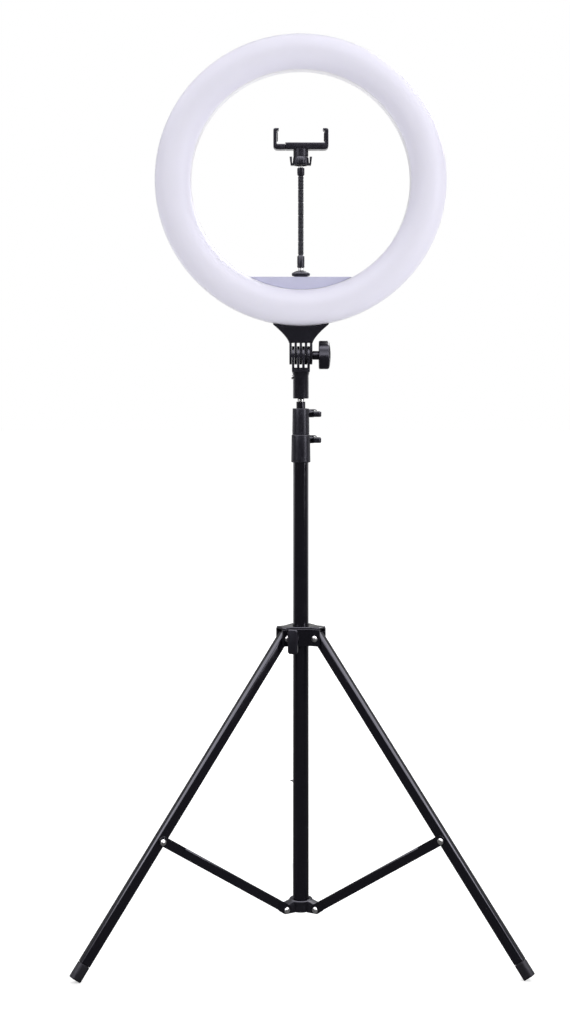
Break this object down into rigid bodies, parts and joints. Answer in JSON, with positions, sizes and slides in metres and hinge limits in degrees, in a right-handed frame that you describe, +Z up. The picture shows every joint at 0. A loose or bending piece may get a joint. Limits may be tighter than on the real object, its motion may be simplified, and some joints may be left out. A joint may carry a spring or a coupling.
{
  "type": "ring light",
  "caption": "Ring light on a black folding tripod stand, with a gooseneck phone clamp standing inside the ring.",
  "frame": {"origin": "on the floor, under the middle of the open stand's footprint", "axes": "+Z up along the column, -Y the way the light faces, +X to the right seen from the front"},
  "size_m": [0.5478, 0.4754, 1.1472],
  "materials": {
    "tube_black": "gloss black enamel on steel and aluminium tube",
    "plastic_black": "satin moulded plastic",
    "foot_black": "matte moulded foot cap",
    "rubber_black": "matte rubber pad",
    "neck_black": "satin black ribbed metal neck",
    "steel": "bright zinc-plated steel",
    "shell_white": "satin white moulded housing",
    "diffuser_white": "milky lavender-white translucent moulding",
    "board_white": "white-masked lamp board",
    "board_green": "green circuit board"
  },
  "bodies": {
    "base": {"base_tube": "tube_black", "lower_collar": "plastic_black", "lower_clamp_bolt": "steel", "brace_hub": "plastic_black", "brace_pin_left": "steel", "brace_pin_right": "steel", "brace_pin_rear": "steel"},
    "hub": {"leg_hub": "plastic_black", "leg_pin_left": "steel", "leg_pin_right": "steel", "leg_pin_rear": "steel"},
    "hub_clamp": {"hub_lever": "plastic_black"},
    "left_leg": {"leg_left": "tube_black", "foot_left": "foot_black"},
    "left_brace": {"brace_left": "tube_black"},
    "right_leg": {"leg_right": "tube_black", "foot_right": "foot_black"},
    "right_brace": {"brace_right": "tube_black"},
    "rear_leg": {"leg_rear": "tube_black", "foot_rear": "foot_black"},
    "rear_brace": {"brace_rear": "tube_black"},
    "lower_lever": {"lower_clamp_lever": "plastic_black"},
    "lower_riser_body": {"lower_riser": "tube_black", "upper_collar": "plastic_black", "upper_clamp_bolt": "steel"},
    "upper_lever": {"upper_clamp_lever": "plastic_black"},
    "upper_riser_body": {"upper_riser": "tube_black", "spigot": "steel"},
    "head": {"spigot_socket": "plastic_black", "socket_lock_screw": "steel"},
    "tilt_clamp": {"tilt_knob": "plastic_black", "tilt_bolt": "steel"},
    "ring": {"ring_bracket": "plastic_black", "ring_back_shell": "shell_white", "ring_shelf": "shell_white", "ring_diffuser": "diffuser_white", "led_board": "board_white", "power_inlet": "plastic_black", "shelf_cover": "shell_white", "driver_board": "board_green", "cold_shoe": "steel"},
    "brightness_control": {"brightness_knob": "plastic_black"},
    "colour_control": {"colour_knob": "plastic_black"},
    "shoe_slide_body": {"shoe_foot": "steel", "lower_ferrule": "plastic_black"},
    "lock_disc": {"shoe_lock_disc": "plastic_black"},
    "link_1": {"gooseneck_link_1": "neck_black"},
    "link_2": {"gooseneck_link_2": "neck_black"},
    "link_3": {"gooseneck_link_3": "neck_black"},
    "link_4": {"gooseneck_link_4": "neck_black"},
    "link_5": {"gooseneck_link_5": "neck_black"},
    "link_6": {"gooseneck_link_6": "neck_black"},
    "neck_end": {"upper_ferrule": "plastic_black"},
    "stud": {"ball_stud": "steel"},
    "clamp": {"clamp_body": "plastic_black", "jaw_pad_right": "rubber_black"},
    "jaw": {"clamp_jaw": "plastic_black", "jaw_pad_left": "rubber_black"},
    "lock_nut": {"ball_lock_nut": "plastic_black"}
  },
  "joints": [
    {"name": "hub_slide", "type": "slide", "parent": "base", "child": "hub", "axis": [0, 0, 1], "range_m": [0, 0.15172]},
    {"name": "hub_clamp_turn", "type": "hinge", "parent": "hub", "child": "hub_clamp", "pos_m": [0, -0.07609, 0.38173], "axis": [-0.3256, -0.9455, 0], "range_deg": [0, 120]},
    {"name": "left_leg_fold", "type": "hinge", "parent": "hub", "child": "left_leg", "pos_m": [-0.02165, -0.08859, 0.38173], "axis": [0.5, -0.866, 0], "range_deg": [0, 36.74]},
    {"name": "left_brace_fold", "type": "hinge", "parent": "base", "child": "left_brace", "pos_m": [-0.02165, -0.08859, 0.03955], "axis": [0.5, -0.866, 0], "range_deg": [-57.31, 0]},
    {"name": "right_leg_fold", "type": "hinge", "parent": "hub", "child": "right_leg", "pos_m": [0.02165, -0.08859, 0.38173], "axis": [0.5, 0.866, 0], "range_deg": [0, 36.74]},
    {"name": "right_brace_fold", "type": "hinge", "parent": "base", "child": "right_brace", "pos_m": [0.02165, -0.08859, 0.03955], "axis": [0.5, 0.866, 0], "range_deg": [-57.31, 0]},
    {"name": "rear_leg_fold", "type": "hinge", "parent": "hub", "child": "rear_leg", "pos_m": [0, -0.05109, 0.38173], "axis": [-1, 0, 0], "range_deg": [0, 36.74]},
    {"name": "rear_brace_fold", "type": "hinge", "parent": "base", "child": "rear_brace", "pos_m": [0, -0.05109, 0.03955], "axis": [-1, 0, 0], "range_deg": [-57.31, 0]},
    {"name": "lower_clamp_turn", "type": "hinge", "parent": "base", "child": "lower_lever", "pos_m": [0, -0.05854, 0.632], "axis": [1, 0, 0], "range_deg": [-180, 180]},
    {"name": "lower_extension", "type": "slide", "parent": "base", "child": "lower_riser_body", "axis": [0, 0, 1], "range_m": [0, 0.48]},
    {"name": "upper_clamp_turn", "type": "hinge", "parent": "lower_riser_body", "child": "upper_lever", "pos_m": [0, -0.05994, 0.6653], "axis": [1, 0, 0], "range_deg": [-180, 180]},
    {"name": "upper_extension", "type": "slide", "parent": "lower_riser_body", "child": "upper_riser_body", "axis": [0, 0, 1], "range_m": [0, 0.48]},
    {"name": "head_swivel", "type": "hinge", "parent": "upper_riser_body", "child": "head", "pos_m": [0, -0.07609, 0.7393], "axis": [0, 0, 1], "continuous": true},
    {"name": "ring_tilt", "type": "hinge", "parent": "head", "child": "ring", "pos_m": [0, -0.07609, 0.7393], "axis": [1, 0, 0], "range_deg": [-90, 90]},
    {"name": "tilt_clamp_turn", "type": "hinge", "parent": "head", "child": "tilt_clamp", "pos_m": [0, -0.07609, 0.7393], "axis": [1, 0, 0], "continuous": true},
    {"name": "brightness_turn", "type": "hinge", "parent": "ring", "child": "brightness_control", "pos_m": [-0.024, -0.06209, 0.7997], "axis": [0, 1, 0], "range_deg": [-135, 135]},
    {"name": "colour_turn", "type": "hinge", "parent": "ring", "child": "colour_control", "pos_m": [0.024, -0.06209, 0.7997], "axis": [0, 1, 0], "range_deg": [-135, 135]},
    {"name": "shoe_travel", "type": "slide", "parent": "ring", "child": "shoe_slide_body", "axis": [0, 1, 0], "range_m": [0, 0.0125]},
    {"name": "lock_disc_turn", "type": "hinge", "parent": "shoe_slide_body", "child": "lock_disc", "pos_m": [0, -0.07609, 0.8392], "axis": [0, 0, 1], "continuous": true},
    {"name": "neck_bend_1", "type": "hinge", "parent": "shoe_slide_body", "child": "link_1", "pos_m": [0, -0.07609, 0.8674], "axis": [1, 0, 0], "range_deg": [-15, 15]},
    {"name": "neck_bend_2", "type": "hinge", "parent": "link_1", "child": "link_2", "pos_m": [0, -0.07609, 0.884], "axis": [0, 1, 0], "range_deg": [-15, 15]},
    {"name": "neck_bend_3", "type": "hinge", "parent": "link_2", "child": "link_3", "pos_m": [0, -0.07609, 0.9006], "axis": [1, 0, 0], "range_deg": [-15, 15]},
    {"name": "neck_bend_4", "type": "hinge", "parent": "link_3", "child": "link_4", "pos_m": [0, -0.07609, 0.9172], "axis": [0, 1, 0], "range_deg": [-15, 15]},
    {"name": "neck_bend_5", "type": "hinge", "parent": "link_4", "child": "link_5", "pos_m": [0, -0.07609, 0.9338], "axis": [1, 0, 0], "range_deg": [-15, 15]},
    {"name": "neck_bend_6", "type": "hinge", "parent": "link_5", "child": "link_6", "pos_m": [0, -0.07609, 0.9504], "axis": [0, 1, 0], "range_deg": [-15, 15]},
    {"name": "neck_bend_7", "type": "hinge", "parent": "link_6", "child": "neck_end", "pos_m": [0, -0.07609, 0.967], "axis": [1, 0, 0], "range_deg": [-15, 15]},
    {"name": "clamp_swivel", "type": "hinge", "parent": "neck_end", "child": "stud", "pos_m": [0, -0.07609, 0.99], "axis": [0, 0, 1], "continuous": true},
    {"name": "clamp_tilt", "type": "hinge", "parent": "stud", "child": "clamp", "pos_m": [0, -0.07609, 0.99], "axis": [1, 0, 0], "range_deg": [-25, 25]},
    {"name": "jaw_slide", "type": "slide", "parent": "clamp", "child": "jaw", "axis": [-1, 0, 0], "range_m": [0, 0.03], "stiffness_N_per_m": 150, "springref_m": -0.01},
    {"name": "lock_nut_turn", "type": "hinge", "parent": "clamp", "child": "lock_nut", "pos_m": [0, -0.07609, 0.99], "axis": [0, 0, 1], "continuous": true}
  ],
  "couplings": [
    {"joint": "left_leg_fold", "follows": "hub_slide", "rad_per_m": 4.2265},
    {"joint": "left_brace_fold", "follows": "hub_slide", "rad_per_m": -6.5927},
    {"joint": "right_leg_fold", "follows": "hub_slide", "rad_per_m": 4.2265},
    {"joint": "right_brace_fold", "follows": "hub_slide", "rad_per_m": -6.5927},
    {"joint": "rear_leg_fold", "follows": "hub_slide", "rad_per_m": 4.2265},
    {"joint": "rear_brace_fold", "follows": "hub_slide", "rad_per_m": -6.5927},
    {"joint": "neck_bend_3", "follows": "neck_bend_1", "ratio": 1},
    {"joint": "neck_bend_4", "follows": "neck_bend_2", "ratio": 1},
    {"joint": "neck_bend_5", "follows": "neck_bend_1", "ratio": 1},
    {"joint": "neck_bend_6", "follows": "neck_bend_2", "ratio": 1},
    {"joint": "neck_bend_7", "follows": "neck_bend_1", "ratio": 1}
  ]
}
